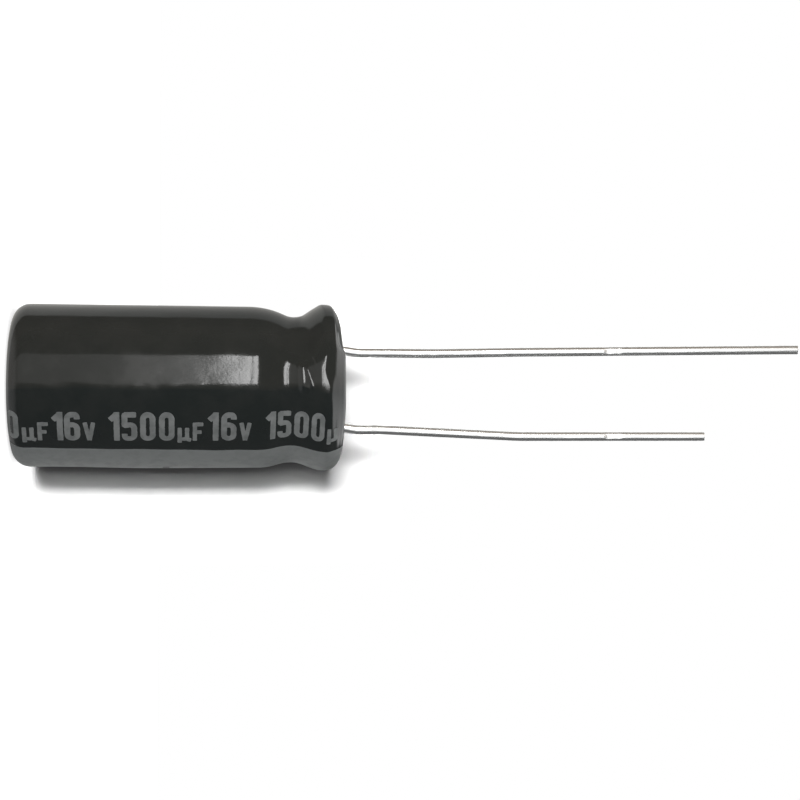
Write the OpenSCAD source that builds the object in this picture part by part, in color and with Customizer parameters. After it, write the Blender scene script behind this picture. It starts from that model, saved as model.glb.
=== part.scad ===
// Radial electrolytic capacitor, standing on its closed end with its two leads up.
// +Z runs along the can's axis. The long anode lead is at -X, the short cathode lead at +X.
// The origin is the middle of the ring that the sleeve stands on. All sizes are in millimetres.

/* [Can] */
// Outer diameter of the drawn can
can_d = 10; // [9.8:0.1:12.5]
// Height of the can from its closed end to the crest of its rim
can_h = 20.1; // [19.5:0.1:30]
// Thickness of the can's wall
can_wall = 0.3; // [0.2:0.02:0.34]
// Outer radius of the corner round the closed end
can_corner_r = 1.15; // [0.6:0.05:1.5]
// How far the rolled rim stands out past the can's side
rim_proud = 0.2; // [0:0.02:0.4]
// Outer radius of the rolled rim's curl
curl_r = 0.78; // [0.6:0.02:0.9]
// How far round the curl turns, in degrees
curl_turn = 140; // [120:1:150]
// Crest of the rim down to the corner below its straight side
rim_drop = 1.05; // [1:0.05:1.3]
// Radius that rounds that corner
rim_fillet = 0.4; // [0.36:0.02:0.6]
// Crest of the rim down to the middle of the rolled bead
bead_drop = 2.7; // [2.5:0.1:3]
// Depth of the bead's corner, before its fillet rounds it
bead_depth = 0.74; // [0.5:0.02:0.8]
// Radius at the bottom of the bead
bead_fillet = 0.5; // [0.4:0.1:1]
// Crest of the rim down to where the bead starts
shoulder_drop = 4.7; // [4.4:0.1:5.2]
// Radius that blends the bead into the can's side
shoulder_fillet = 5.8; // [3:0.2:7]

/* [Vent] */
// Length of each score across the closed end
vent_l = 5.6; // [3:0.1:6]
// Width of a score
vent_w = 0.25; // [0.15:0.05:0.4]
// Depth of a score
vent_depth = 0.1; // [0.05:0.01:0.15]

/* [Sleeve] */
// Thickness of the shrink sleeve's film
film_t = 0.15; // [0.08:0.01:0.25]
// Gap between the sleeve and the can
film_gap = 0.01; // [0.005:0.005:0.05]
// Radius with which the film bridges the bead
film_fillet = 1.6; // [1:0.1:2]
// How far the film is folded in under the closed end, from the can's side
bottom_lip = 1.7; // [1.4:0.1:2]
// How far the film is folded in over the rim, from its crest
top_lip = 0.42; // [0.2:0.02:0.6]
// Angle that the polarity stripe covers, centred on the cathode's side
stripe_angle = 80; // [50:1:100]
// Thickness of the stripe's ink
ink_t = 0.03; // [0.02:0.005:0.05]
// Height that the stripe leaves clear at both ends of the sleeve
stripe_margin = 0.1; // [0.08:0.01:0.5]

/* [Seal] */
// Height of the rubber seal
seal_h = 4.6; // [4:0.1:5]
// Gap between the seal and what it touches
seal_fit = 0.01; // [0.005:0.005:0.03]

/* [Leads] */
// Distance between the leads where they pass through the seal
lead_pitch = 5; // [4:0.1:5.4]
// Diameter of the tinned wire
wire_d = 0.6; // [0.45:0.05:0.8]
// How much thinner the wire is where it was bent
bend_thinning = 0.01; // [0.006:0.002:0.02]
// Length of the anode lead above the rim
anode_l = 31.6; // [24:0.1:36]
// Length of the cathode lead above the rim
cathode_l = 24.9; // [22:0.1:30]
// Height above the rim where the step at each lead's root ends
root_h = 1.2; // [1:0.1:1.8]
// How far both leads step towards the cathode's side at their roots
root_step = 0.24; // [0.1:0.02:0.4]
// Height above the rim at which the anode lead starts to spread
anode_knee_h = 6.2; // [4:0.1:8]
// Height above the rim at which the cathode lead starts to spread
cathode_knee_h = 2.8; // [2.4:0.1:8]
// Height above the rim at which both leads stop spreading
spread_h = 12; // [10:0.1:14]
// How far the anode lead spreads between those heights
anode_spread = 0.14; // [0:0.02:0.6]
// How far the cathode lead spreads between those heights
cathode_spread = 0.44; // [0:0.02:0.6]
// How far the anode lead leans outwards from there to its tip
anode_lean = 0.34; // [0:0.02:0.6]
// Radius of the bends at the leads' roots
root_bend_r = 1.8; // [1:0.1:2.5]
// Radius of the slow bends further up
slow_bend_r = 25; // [10:1:40]
// Height above the rim of the mark that the forming clamp left
clamp_h = 18.4; // [15:0.1:20]
// Length of that mark
clamp_l = 1.3; // [0.6:0.1:2]
// Thickness of the wire across the mark
clamp_t = 0.56; // [0.4:0.02:0.58]

/* [Tabs] */
// Diameter of the aluminium post in the seal
post_d = 1.5; // [1.2:0.05:1.8]
// Height of the weld cone between post and wire
weld_h = 0.6; // [0.3:0.1:0.9]
// Wire hole's length in the seal, above the weld cone
neck_h = 0.9; // [0.5:0.1:1.5]
// Width of the flattened tab that is stitched to the foil
tab_w = 2; // [1.6:0.1:2.4]
// Thickness of the flattened tab
tab_t = 0.25; // [0.2:0.01:0.35]
// Length of the flattened tab inside the roll
tab_l = 10; // [6:0.5:12]
// Length over which the round post is flattened
flare_l = 1.2; // [0.8:0.1:1.6]

/* [Roll] */
// Gap between the roll's side and the can
roll_clear = 0.2; // [0.15:0.05:0.5]
// Diameter of the hole that the winding pin left
core_d = 1.2; // [0.8:0.1:1.6]
// Space between the roll's top and the seal
roll_gap = 0.7; // [0.4:0.1:1]
// Distance between the turns that show at the roll's ends
turn_pitch = 0.45; // [0.4:0.05:0.7]
// Width of the line between two turns
turn_w = 0.1; // [0.05:0.01:0.15]
// Depth of the line between two turns
turn_depth = 0.15; // [0.05:0.05:0.3]
// Gap between the roll and what it touches
roll_fit = 0.02; // [0.01:0.01:0.05]
// Thickness of the tape that closes the roll
tape_t = 0.05; // [0.03:0.01:0.06]
// Height of the tape
tape_h = 11; // [8:0.5:12]
// Angle over which the tape's end lies on its start
tape_lap = 50; // [20:5:90]

/* [Hidden] */
$fn = 72;

// Angle of one step of a rounded corner, in degrees
arc_step = 8;
// Something small that a cut runs past the face it cuts
over = 0.05;
// How far a straight run of wire reaches into the bend next to it
bend_lap = 0.03;

can_bottom = film_t + film_gap;
can_top = can_bottom + can_h;
can_r = can_d / 2;
can_in_r = can_r - can_wall;
corner_in_r = can_corner_r - can_wall;
rim_r = can_r + rim_proud;
sleeve_top = can_top + film_gap + film_t;
curl_centre = [rim_r - curl_r, can_top - curl_r];
bare_bottom_r = can_r - bottom_lip;
bare_top_r = curl_centre.x - top_lip;

// The curl's edge presses on the seal, which fills the can below it
seal_top = curl_centre.y + (curl_r - can_wall) * sin(curl_turn) - seal_fit;
seal_bottom = seal_top - seal_h;
weld_top = seal_top - neck_h;
post_top = weld_top - weld_h;
neck_d = wire_d + 2 * seal_fit;
weld_d = wire_d + 0.1;

// The roll sits down on the curve of the can's inner corner
roll_r = can_in_r - roll_clear;
roll_reach = max(0, roll_r + roll_fit - (can_in_r - corner_in_r));
roll_bottom = can_bottom + can_wall + corner_in_r - sqrt(corner_in_r ^ 2 - roll_reach ^ 2) + roll_fit;
roll_top = seal_bottom - roll_gap;
roll_h = roll_top - roll_bottom;
post_bottom = roll_top + roll_fit;

function unit(v) = v / norm(v);
function cross_z(a, b) = a.x * b.y - a.y * b.x;
function reversed(list) = [for (i = [len(list) - 1 : -1 : 0]) list[i]];
function xy(p) = [p.x, p.y];

// Signed angle between two directions, positive where the path turns left
function turn(a, b) = atan2(cross_z(a, b), a * b);

// Points on a circle, from one angle to another
function arc(centre, r, from, to) =
    let (steps = max(2, ceil(abs(to - from) / arc_step)))
    [for (i = [0 : steps]) let (t = from + (to - from) * i / steps) centre + r * [cos(t), sin(t)]];

// Radius r, or the largest that the corner b of the path a, b, c has room for
function fitting_radius(a, b, c, r) =
    let (bend = abs(turn(b - a, c - b)))
    bend == 0 ? r : min(r, min(norm(b - a), norm(c - b)) / 2 / tan(bend / 2));

// The corner b of the path a, b, c, rounded with radius r
function rounded_corner(a, b, c, r) =
    let (
        u = unit(b - a),
        bend = turn(u, unit(c - b)),
        fit_r = fitting_radius(a, b, c, r),
        first = b - u * fit_r * tan(abs(bend) / 2),
        centre = first + sign(bend) * fit_r * [-u.y, u.x],
        start = atan2(first.y - centre.y, first.x - centre.x)
    )
    arc(centre, fit_r, start, start + bend);

// A path [x, y, fillet radius] with its corners rounded. Its two ends stay sharp.
function rounded_path(p) = [
    for (i = [0 : len(p) - 1])
        let (inner = i > 0 && i < len(p) - 1)
        each inner ? rounded_corner(xy(p[i - 1]), xy(p[i]), xy(p[i + 1]), p[i].z) : [xy(p[i])]
];

// Where a path's corner goes when each side moves by d to its own right
function moved_corner(p, i, d) =
    let (
        u = unit(p[max(i, 1)] - p[max(i, 1) - 1]),
        v = unit(p[min(i, len(p) - 2) + 1] - p[min(i, len(p) - 2)]),
        m = [u.y, -u.x] + [v.y, -v.x]
    )
    p[i] + d * m * 2 / (m * m);

function moved_path(p, d) = [for (i = [0 : len(p) - 1]) moved_corner(p, i, d)];

// Outline of a wall of thickness t whose outer face is the path
function wall_outline(p, t) = concat(p, reversed(moved_path(p, -t)));

// The can's side from r_start on its closed end up to its rim, with the bead rounded by bead_round
function side_path(r_start, bead_round) = [
    for (i = [0 : 5])
        [[r_start, can_bottom, 0],
         [can_r, can_bottom, can_corner_r],
         [can_r, can_top - shoulder_drop, shoulder_fillet],
         [can_r - bead_depth, can_top - bead_drop, bead_round],
         [rim_r, can_top - rim_drop, rim_fillet],
         [rim_r, curl_centre.y, 0]][i]
];

can_path = concat(rounded_path(side_path(0, bead_fillet)), arc_after_start(curl_turn));
film_path = moved_path(
    concat(rounded_path(side_path(bare_bottom_r, film_fillet)), arc_after_start(90),
           [[bare_top_r, can_top]]),
    film_gap + film_t);
inside_path = moved_path(can_path, -can_wall - seal_fit);

// The curl's outer face from the rim's side up to the given angle, without its first point
function arc_after_start(angle) =
    let (a = arc(curl_centre, curl_r, 0, angle))
    [for (i = [1 : len(a) - 1]) a[i]];

// Black shrink film, folded in over both ends and stretched across the bead
module sleeve() {
    color("#2c2e2f")
        rotate_extrude()
            polygon(wall_outline(film_path, film_t));
}

// Printed band along the cathode's side, from the closed end's corner to the crest of the rim
module polarity_stripe() {
    printed = [for (q = film_path) if (q.y > stripe_margin && q.y < sleeve_top - stripe_margin) q];
    color("#7b8081")
        rotate([0, 0, -stripe_angle / 2])
            rotate_extrude(angle = stripe_angle)
                polygon(wall_outline(moved_path(printed, ink_t), ink_t));
}

// Drawn aluminium can with a rolled bead, a curled rim and a scored closed end
module can() {
    color("#c4c7ca")
        difference() {
            rotate_extrude()
                polygon(wall_outline(can_path, can_wall));
            for (angle = [45, 135])
                rotate([0, 0, angle])
                    translate([-vent_l / 2, -vent_w / 2, can_bottom - over])
                        cube([vent_l, vent_w, vent_depth + over]);
        }
}

// Hole for one lead through the seal: wide for the post, then a cone, then narrow for the wire
module lead_hole() {
    translate([0, 0, seal_bottom - over])
        cylinder(d = post_d + 2 * seal_fit, h = post_top - seal_bottom + over + seal_fit);
    translate([0, 0, post_top + seal_fit])
        cylinder(d1 = post_d + 2 * seal_fit, d2 = weld_d + 2 * seal_fit, h = weld_h);
    translate([0, 0, post_top])
        cylinder(d = neck_d, h = seal_top - post_top + over);
}

// Rubber seal, squeezed to a waist by the bead
module rubber_seal() {
    color("#1b1b1c")
        difference() {
            intersection() {
                rotate_extrude()
                    polygon(concat(inside_path, [[0, inside_path[len(inside_path) - 1].y]]));
                translate([0, 0, seal_bottom])
                    cylinder(r = 2 * rim_r, h = seal_h);
            }
            for (side = [-1, 1])
                translate([side * lead_pitch / 2, 0, 0])
                    lead_hole();
        }
}

// Bend radius at corner i of a wire's path
function bend_r(p, i) = fitting_radius(xy(p[i - 1]), xy(p[i]), xy(p[i + 1]), p[i].z);

// Length that the bend at corner i takes from the runs beside it
function bend_run(p, i) =
    i == 0 || i == len(p) - 1 ? 0
    : bend_r(p, i) * tan(abs(turn(xy(p[i] - p[i - 1]), xy(p[i + 1] - p[i]))) / 2);

// Straight run i of a wire's path, lapped into the bends at its ends
module straight_run(p, i) {
    along = unit(xy(p[i + 1] - p[i]));
    low = bend_run(p, i) - (i > 0 ? bend_lap : 0);
    high = bend_run(p, i + 1) - (i < len(p) - 2 ? bend_lap : 0);
    start = xy(p[i]) + along * low;
    translate([start.x, 0, start.y])
        rotate([0, atan2(along.x, along.y), 0])
            cylinder(d = wire_d, h = norm(xy(p[i + 1] - p[i])) - low - high);
}

// Bend of a wire's path at its corner i
module bend_at(p, i) {
    along = unit(xy(p[i] - p[i - 1]));
    bend = turn(along, unit(xy(p[i + 1] - p[i])));
    first = xy(p[i]) - along * bend_run(p, i);
    centre = first + sign(bend) * bend_r(p, i) * [-along.y, along.x];
    start = atan2(first.y - centre.y, first.x - centre.x);
    if (abs(bend) > 0)
        rotate([90, 0, 0])
            translate(centre)
                rotate([0, 0, min(start, start + bend)])
                    rotate_extrude(angle = abs(bend))
                        translate([bend_r(p, i), 0])
                            circle(d = wire_d - bend_thinning);
}

// Round wire along a path [x, z, bend radius] in the XZ plane
module wire(p) {
    for (i = [0 : len(p) - 2])
        straight_run(p, i);
    for (i = [1 : len(p) - 2])
        bend_at(p, i);
}

// The two flats that the forming clamp pressed into a lead standing at x
module clamp_mark(x) {
    for (side = [-1, 1])
        translate([x, side * (clamp_t + wire_d) / 2, sleeve_top + clamp_h])
            cube([2 * wire_d, wire_d, clamp_l], center = true);
}

// Height above the sleeve's top, as a place along Z
function above_rim(h) = sleeve_top + h;

anode_root_x = -lead_pitch / 2 + root_step;
anode_spread_x = anode_root_x - anode_spread;
anode_route = [
    [-lead_pitch / 2, weld_top, 0],
    [-lead_pitch / 2, seal_top + root_bend_r / 8, root_bend_r],
    [anode_root_x, above_rim(root_h), root_bend_r],
    [anode_root_x, above_rim(anode_knee_h), slow_bend_r],
    [anode_spread_x, above_rim(spread_h), slow_bend_r],
    [anode_spread_x - anode_lean, above_rim(anode_l), 0]
];

cathode_root_x = lead_pitch / 2 + root_step;
cathode_spread_x = cathode_root_x + cathode_spread;
cathode_route = [
    [lead_pitch / 2, weld_top, 0],
    [lead_pitch / 2, seal_top + root_bend_r / 8, root_bend_r],
    [cathode_root_x, above_rim(root_h), root_bend_r],
    [cathode_root_x, above_rim(cathode_knee_h), slow_bend_r],
    [cathode_spread_x, above_rim(spread_h), slow_bend_r],
    [cathode_spread_x, above_rim(cathode_l), 0]
];

// Long lead, which marks the anode
module anode_lead() {
    lean_at_clamp = anode_lean * (clamp_h - spread_h) / (anode_l - spread_h);
    color("#b9bcc0")
        difference() {
            wire(anode_route);
            clamp_mark(anode_spread_x - lean_at_clamp);
        }
}

// Short lead, which marks the cathode
module cathode_lead() {
    color("#b9bcc0")
        difference() {
            wire(cathode_route);
            clamp_mark(cathode_spread_x);
        }
}

// Aluminium lead tab: a post that fills its hole in the seal, a weld cone and a flattened paddle
module lead_tab() {
    color("#d3d5d8") {
        translate([0, 0, post_bottom])
            cylinder(d = post_d, h = post_top - post_bottom);
        translate([0, 0, post_top])
            cylinder(d1 = post_d, d2 = weld_d, h = weld_h);
        hull() {
            translate([0, 0, post_bottom - over])
                cylinder(d = post_d, h = over, $fn = 32);
            translate([-tab_t / 2, -tab_w / 2, post_bottom - flare_l])
                cube([tab_t, tab_w, over]);
        }
        translate([-tab_t / 2, -tab_w / 2, post_bottom - flare_l - tab_l])
            cube([tab_t, tab_w, tab_l]);
    }
}

module anode_tab() {
    translate([-lead_pitch / 2, 0, 0])
        lead_tab();
}

module cathode_tab() {
    translate([lead_pitch / 2, 0, 0])
        lead_tab();
}

// Space in the roll for one tab: its flare at the top and a slot for the paddle
module tab_pocket() {
    translate([0, 0, post_bottom - flare_l - roll_fit])
        cylinder(d = max(post_d, tab_w) + 4 * roll_fit, h = flare_l + 1);
    translate([-tab_t / 2 - roll_fit, -tab_w / 2 - roll_fit, post_bottom - flare_l - tab_l - roll_fit])
        cube([tab_t + 2 * roll_fit, tab_w + 2 * roll_fit, tab_l + 2 * roll_fit]);
}

// Half of a ring-shaped line at radius r, on the side where y is positive
module half_line(r) {
    rotate_extrude(angle = 180)
        translate([r - turn_w / 2, 0])
            square([turn_w, turn_depth + over]);
}

// Spiral of half rings about two centres half a pitch apart, from the core to the rim of the roll
module turn_lines() {
    for (r = [core_d / 2 + turn_pitch : turn_pitch : roll_r - turn_pitch]) {
        half_line(r);
        translate([turn_pitch / 2, 0, 0])
            rotate([0, 0, 180])
                half_line(r + turn_pitch / 2);
    }
}

// Anode foil, cathode foil and paper, wound together into one roll
module wound_roll() {
    color("#cbb58a")
        difference() {
            translate([0, 0, roll_bottom])
                cylinder(r = roll_r, h = roll_h);
            translate([0, 0, roll_bottom - over])
                cylinder(d = core_d, h = roll_h + 2 * over);
            for (side = [-1, 1])
                translate([side * lead_pitch / 2, 0, 0])
                    tab_pocket();
            translate([0, 0, roll_top - turn_depth])
                turn_lines();
            translate([0, 0, roll_bottom - over])
                turn_lines();
        }
}

// Thin tape once round the roll, with its end lapped over its start
module closing_tape() {
    tape_r = roll_r + roll_fit;
    color("#d8c48a")
        translate([0, 0, roll_bottom + (roll_h - tape_h) / 2]) {
            rotate_extrude()
                translate([tape_r, 0])
                    square([tape_t, tape_h]);
            rotate_extrude(angle = tape_lap)
                translate([tape_r + tape_t, 0])
                    square([tape_t, tape_h]);
        }
}

sleeve();
polarity_stripe();
can();
rubber_seal();
anode_lead();
cathode_lead();
anode_tab();
cathode_tab();
wound_roll();
closing_tape();
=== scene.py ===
"""The looks of a small electrolytic capacitor that stands on its closed end with its two leads up.

Lengths are written in millimetres and go into the meshes in metres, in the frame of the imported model: +Z runs
along the can, the anode lead is at -X, the cathode lead and the polarity stripe at +X. The camera looks along +Y
and is turned on its side, so that the part lies across the picture with its closed end to the left.
"""

import math

import bmesh
import bpy
import numpy as np
from mathutils import Matrix, Vector


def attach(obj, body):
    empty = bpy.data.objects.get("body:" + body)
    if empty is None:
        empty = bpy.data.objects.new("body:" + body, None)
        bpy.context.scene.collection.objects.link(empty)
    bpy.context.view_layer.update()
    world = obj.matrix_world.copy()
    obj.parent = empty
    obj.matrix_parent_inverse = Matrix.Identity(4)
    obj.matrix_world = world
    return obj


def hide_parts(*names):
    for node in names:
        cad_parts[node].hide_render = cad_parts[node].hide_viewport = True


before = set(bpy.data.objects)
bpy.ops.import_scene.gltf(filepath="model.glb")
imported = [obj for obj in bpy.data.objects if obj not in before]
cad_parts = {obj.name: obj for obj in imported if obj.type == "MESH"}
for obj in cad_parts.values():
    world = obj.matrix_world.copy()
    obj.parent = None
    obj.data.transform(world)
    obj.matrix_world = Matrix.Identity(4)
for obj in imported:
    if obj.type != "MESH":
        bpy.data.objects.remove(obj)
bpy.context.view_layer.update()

MM = 0.001

# Outer face of the can's wall, from under its closed end to the crest of its rim: radius, height, rounding
CAN_SIDE = [(3.3, 0.16, 0), (5, 0.16, 1.15), (5, 15.56, 5.8), (4.26, 17.56, 1.6), (5.2, 19.21, 0.4), (5.2, 19.48, 0)]
CURL_CENTRE = (4.42, 19.48)
CURL_R = 0.78
# The film: the radius that it reaches in to over the rim, its outer radius on the side and at the crest, its
# thickness, how far its outer face lies out of the can's, and the least gap that its inner face keeps
LIP_R = 4.0
SIDE_R = 5.16
CREST_R = 5.36
FILM_T = 0.15
FILM_OUT = 0.16
FILM_GAP = 0.005

# Angles called "from the front" are degrees from the camera's side, -Y, towards +X. A pair of heights or angles is
# the two places between which something fades in or out.

# Where the film spans the groove: the radius of its lowest place, the half width of the fall to it, the angle from
# the front round which it is free, and the heights over which the span fades in and at which it ends
SPAN_R = 4.82
SPAN_FALL = 1.2
SPAN_TURN = 50
SPAN_FROM_Z = (13.8, 14.6)
SPAN_TO_Z = 19.42
# Heights of its lowest place and its crest, and how much lower they lie on the camera's side
SPAN_LOW_Z, SPAN_LOW_DIP = 17.4, 0.62
SPAN_CREST_Z, SPAN_CREST_DIP = 19.36, 0.43

# Where it is stretched over the rim: how far it steps in, the angles from the front over which that begins and
# ends, the height at which it begins, how much further up that is past the front and where it is full, and the
# heights over which it ends
STEP_IN = 0.1
STEP_FROM, STEP_TO = (-58, -40), (68, 84)
STEP_Z, STEP_CLIMB, STEP_FULL_Z = 18.98, 0.32, 19.8
STEP_END_Z = (20.05, 20.35)

# Where it is drawn into the groove on the anode's side: distance out, height and half width of each of three bands,
# and the angle from the front of their middle
DRAWN_BANDS = [(-0.05, 17.4, 0.8), (-0.06, 18.13, 0.4), (0.012, 19.2, 0.25)]
DRAWN_TURN = -70

# How much it is drawn in at the closed end's corner on the stripe's side, and how much thinner it is where it turns
# in over the rim on the anode's side
HEEL_IN = 0.12
RIM_THINNED = 0.13

# The flat tube that the sleeve was cut from left a crease on two opposite sides
CREASE_TURN = math.radians(-86.3)
CREASE_H = 0.009
CREASE_W = 0.2

# Small wrinkles across the groove on the camera's side: height, half width, (angle, z) of one end and of the other
WRINKLES = [(0.09, 0.17, (-14.5, 17.6), (2.0, 17.67)), (0.08, 0.15, (0.2, 17.93), (1.6, 17.95)),
            (0.05, 0.075, (-12.4, 17.88), (0.5, 18.26)), (0.055, 0.07, (-20.5, 18.36), (-18.5, 18.38))]
# Low hills of trapped air beside the crease, in the groove and on the rim: angle, z, height, half width
BLISTERS = [(2.6, 7.7, 0.007, 0.3), (3.6, 8.7, 0.008, 0.28), (2.2, 9.9, 0.0065, 0.34), (1.6, 11.5, 0.005, 0.3),
            (5.0, 17.87, 0.03, 0.3), (6.5, 19.15, 0.03, 0.4)]

# The stripe: half width, how much its edge on the camera's side leans out at the closed end, and its ink's
# thickness; then its minus sign's length and width, height on the can and thickness
STRIPE_HALF = math.radians(40)
STRIPE_LEAN = 0.045
STRIPE_T = 0.02
MINUS_SIZE = (2.2, 0.42)
MINUS_Z = 9.4
MINUS_T = 0.006

# The rating: its ink's thickness, where one print of it starts, how far apart the prints are, and the angle of their
# base line
INK_T = 0.014
PRINT_START_Z = 6.1
PRINT_PERIOD = 9.33
PRINT_BASE_TURN = math.radians(-90 + 40.5)
# How far the print moves towards the leads at the closed end, and the lengths along the film over which that ends
PRINT_CORNER_SHIFT = 0.15
PRINT_CORNER = (3.3, 5.2)
# The length along the film past which it has moved again, by how much, and how much less that is for each mm further
PRINT_DRAWN_FROM = 16.6
PRINT_DRAWN_SHIFT, PRINT_DRAWN_LESS = 0.09, 0.015
# The lengths between which the film takes print
PRINT_START, PRINT_END = 0.4, 21.64
DIGIT_H = 2.0
LETTER_H = 1.32
MICRO_H = 0.97
DIGIT_PEN = 0.35
LETTER_PEN = 0.26
# How far the under face of the rating's and the minus sign's ink lies below the face that they are printed on
INK_UNDER = 0.003

WIRE_R = 0.3
WIRE_UNEVEN = 0.0012
# The rounded edge of a lead's ends: distances from the end, and the radii there. Then how far the upper one is
# sheared down, for each mm across the wire.
WIRE_END_S = [0, 0, 0.02, 0.05]
WIRE_END_R = [0, 0.24, 0.275, 0.296]
WIRE_SHEAR = 0.12
# The clamp's mark: height of its middle, half length, how long its slopes are, what is left between its flats, and
# how much of what is pressed in comes out at the sides
CLAMP_Z = 38.82
CLAMP_HALF = 0.62
CLAMP_SLOPE = 0.18
CLAMP_T = 0.5
CLAMP_SPREAD = 0.35
# The ridge across the flats: how far it lies from their middle, its half width, and its share of the depth
RIDGE_AT, RIDGE_HALF, RIDGE_SHARE = 0.12, 0.12, 0.45
# Route of each lead in the XZ plane: x, z, bend radius
ANODE_ROUTE = [(-2.5, 18.88, 0), (-2.5, 20.0, 1.8), (-2.26, 21.62, 1.8), (-2.26, 26.62, 25), (-2.4, 32.42, 25),
               (-2.74, 52.02, 0)]
CATHODE_ROUTE = [(2.5, 18.88, 0), (2.5, 20.0, 1.8), (2.74, 21.62, 1.8), (2.74, 23.22, 25), (3.18, 32.42, 25),
                 (3.18, 45.32, 0)]


# Shapes

def unit(v):
    return v / np.linalg.norm(v, axis=-1, keepdims=True)


def smooth(x, low, high):
    """0 below low, 1 above high, and 3t^2 - 2t^3 between them."""
    t = np.clip((x - low) / (high - low), 0, 1)
    return t * t * (3 - 2 * t)


def bell(x, middle, width, power=2):
    """e^(-|(x - middle) / width|^power)."""
    return np.exp(-np.abs((x - middle) / width) ** power)


def rounded_path(corners, steps=24):
    """Points of a path through corners (x, y, radius). Each inner corner becomes an arc that touches both of its
    sides; its radius is the one given, or what half of the shorter side has room for."""
    points = [np.array([corners[0][:2]], float)]
    for before, here, after in zip(corners, corners[1:], corners[2:]):
        a, b, c = (np.array(p[:2], float) for p in (before, here, after))
        u, v = unit(b - a), unit(c - b)
        bend = math.atan2(u[0] * v[1] - u[1] * v[0], u @ v)
        room = min(np.linalg.norm(b - a), np.linalg.norm(c - b)) / 2
        half = math.tan(abs(bend) / 2)
        r = min(here[2], room / half) if half > 0 else 0
        start = b - u * r * half
        side = math.copysign(1, bend) * np.array([-u[1], u[0]])
        angle = np.linspace(0, bend, steps)[:, None]
        spoke = np.array([side[1], -side[0]]) * np.sin(angle) - side * np.cos(angle)
        points.append(start + (side + spoke) * r)
    points.append(np.array([corners[-1][:2]], float))
    path = np.concatenate(points)
    keep = np.r_[True, np.linalg.norm(np.diff(path, axis=0), axis=1) > 1e-6]
    return path[keep]


def spaced(path, step):
    """The same path with a point every step along it, and the lengths along it of those points."""
    s = np.r_[0, np.cumsum(np.linalg.norm(np.diff(path, axis=0), axis=1))]
    even = np.linspace(0, s[-1], max(2, round(s[-1] / step) + 1))
    return np.stack([np.interp(even, s, path[:, k]) for k in range(path.shape[1])], -1), even


def right_hand(path):
    """Unit normals on the right-hand side of a path in a plane."""
    along = unit(np.gradient(path, axis=0))
    return np.stack([along[:, 1], -along[:, 0]], -1)


def grid_piece(name, surfaces, material, sharp=40.0):
    """One mesh from grids of points (rows, columns, 3) in millimetres, each closed round its columns. A row whose
    points are all one point closes an end, and a last row that repeats the first closes a ring."""
    verts, faces, start = [], [], 0
    for points in surfaces:
        rows, cols = points.shape[:2]
        row, col = np.meshgrid(np.arange(rows - 1), np.arange(cols), indexing="ij")
        a, b = row * cols + col, row * cols + (col + 1) % cols
        quads = np.stack([a, b, b + cols, a + cols], -1).reshape(-1, 4)
        flat = points.reshape(-1, 3)
        corner = flat[quads]
        volume = np.einsum("ij,ij->i", np.cross(corner[:, 0], corner[:, 1]), corner[:, 2]).sum()
        volume += np.einsum("ij,ij->i", np.cross(corner[:, 0], corner[:, 2]), corner[:, 3]).sum()
        faces.append((quads if volume > 0 else quads[:, ::-1]) + start)
        verts.append(flat)
        start += len(flat)
    mesh = bpy.data.meshes.new(name)
    mesh.from_pydata(np.concatenate(verts) * MM, [], np.concatenate(faces).tolist())
    bm = bmesh.new()
    bm.from_mesh(mesh)
    bmesh.ops.remove_doubles(bm, verts=bm.verts, dist=1e-8)
    bmesh.ops.dissolve_degenerate(bm, edges=bm.edges, dist=1e-9)
    bm.to_mesh(mesh)
    bm.free()
    return added(name, mesh, material, sharp)


def added(name, mesh, material, sharp=40.0):
    """An object at the origin with that mesh, shaded softly except at edges sharper than the angle."""
    mesh.shade_smooth()
    mesh.set_sharp_from_angle(angle=math.radians(sharp))
    mesh.materials.clear()
    mesh.materials.append(material)
    piece = bpy.data.objects.new(name, mesh)
    bpy.context.scene.collection.objects.link(piece)
    return piece


def smooth_copy(node, name, material):
    """A copy of a CAD node whose loose triangles are joined, so that its round faces shade as round."""
    bm = bmesh.new()
    bm.from_mesh(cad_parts[node].data)
    bmesh.ops.remove_doubles(bm, verts=bm.verts, dist=1e-7)
    mesh = bpy.data.meshes.new(name)
    bm.to_mesh(mesh)
    bm.free()
    for layer in ("custom_normal", "UVMap"):
        if layer in mesh.attributes:
            mesh.attributes.remove(mesh.attributes[layer])
    return added(name, mesh, material, 30.0)


# Shrink film

def film_path():
    """The film's outer face in the (radius, height) plane: the can's side, the first quarter of the curl and the lip
    over the rim, all moved out by the film's gap and thickness. Gives points, lengths and normals."""
    quarter = np.radians(np.linspace(2, 90, 45))[:, None]
    curl = np.array(CURL_CENTRE) + CURL_R * np.concatenate([np.cos(quarter), np.sin(quarter)], axis=1)
    path = np.concatenate([rounded_path(CAN_SIDE), curl, [[LIP_R, CURL_CENTRE[1] + CURL_R]]])
    even, _ = spaced(path, 0.02)
    outer, s = spaced(even + FILM_OUT * right_hand(even), 0.02)
    return outer, s, right_hand(outer)


FILM_POINTS, FILM_S, FILM_NORMALS = film_path()
FILM_LENGTH = FILM_S[-1]
SIDE = (FILM_POINTS[:, 0] > SIDE_R - 0.001) & (FILM_POINTS[:, 1] < 14)
SIDE_START_Z = FILM_POINTS[SIDE, 1].min()
SIDE_START = FILM_S[SIDE].min()

rng = np.random.default_rng(11)
WAVES_ROUND = rng.integers(1, 30, 48)
WAVES_ALONG = rng.uniform(-2.6, 2.6, 48)
WAVE_PHASE = rng.uniform(0, 2 * math.pi, 48)
WAVE_SIZE = 0.0011 / (1 + 0.05 * np.hypot(WAVES_ROUND, 5.2 * WAVES_ALONG) ** 1.45)


def from_front(turn):
    """The angle in degrees from the camera's side, -Y, towards +X, between -180 and 180."""
    return np.degrees(np.angle(np.exp(1j * (turn + math.pi / 2))))


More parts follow.
